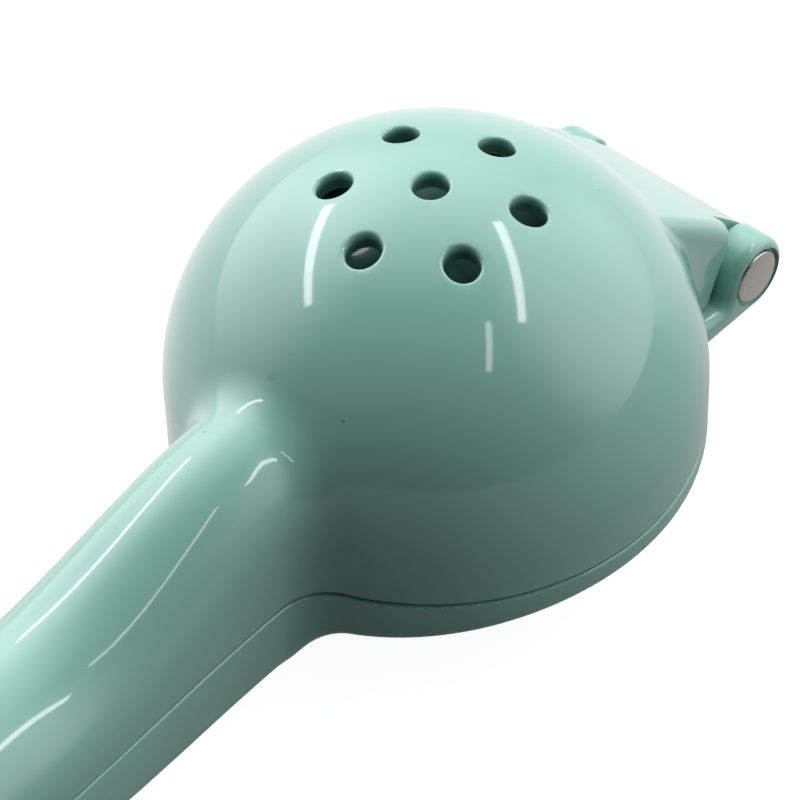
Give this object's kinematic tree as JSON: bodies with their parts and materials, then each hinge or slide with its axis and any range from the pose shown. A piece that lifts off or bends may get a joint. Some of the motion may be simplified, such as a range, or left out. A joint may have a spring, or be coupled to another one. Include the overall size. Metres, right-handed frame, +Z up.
{
  "type": "hinged lemon squeezer",
  "caption": "Two-lever hand press for lemon halves: a perforated dome bowl closes over a hollow plunger, hinged by a rivet at the front, with long rounded handles.",
  "frame": {"origin": "bottom centre of the closed tool's bounding box, lying dome up", "axes": "+X along the tool from the handle ends to the hinge, +Y along the hinge axis, +Z up through the dome"},
  "size_m": [0.2114, 0.076, 0.0567],
  "materials": {
    "mint_enamel": "glossy mint green enamel on cast aluminium",
    "rivet_steel": "polished steel with light wear"
  },
  "bodies": {
    "press": {"press_lever": "mint_enamel", "hinge_rivet": "rivet_steel"},
    "strainer": {"strainer_lever": "mint_enamel"}
  },
  "joints": [
    {"name": "lever_hinge", "type": "hinge", "parent": "press", "child": "strainer", "pos_m": [0.09978, 0, 0.0168], "axis": [0, 1, 0], "range_deg": [0, 150]}
  ]
}
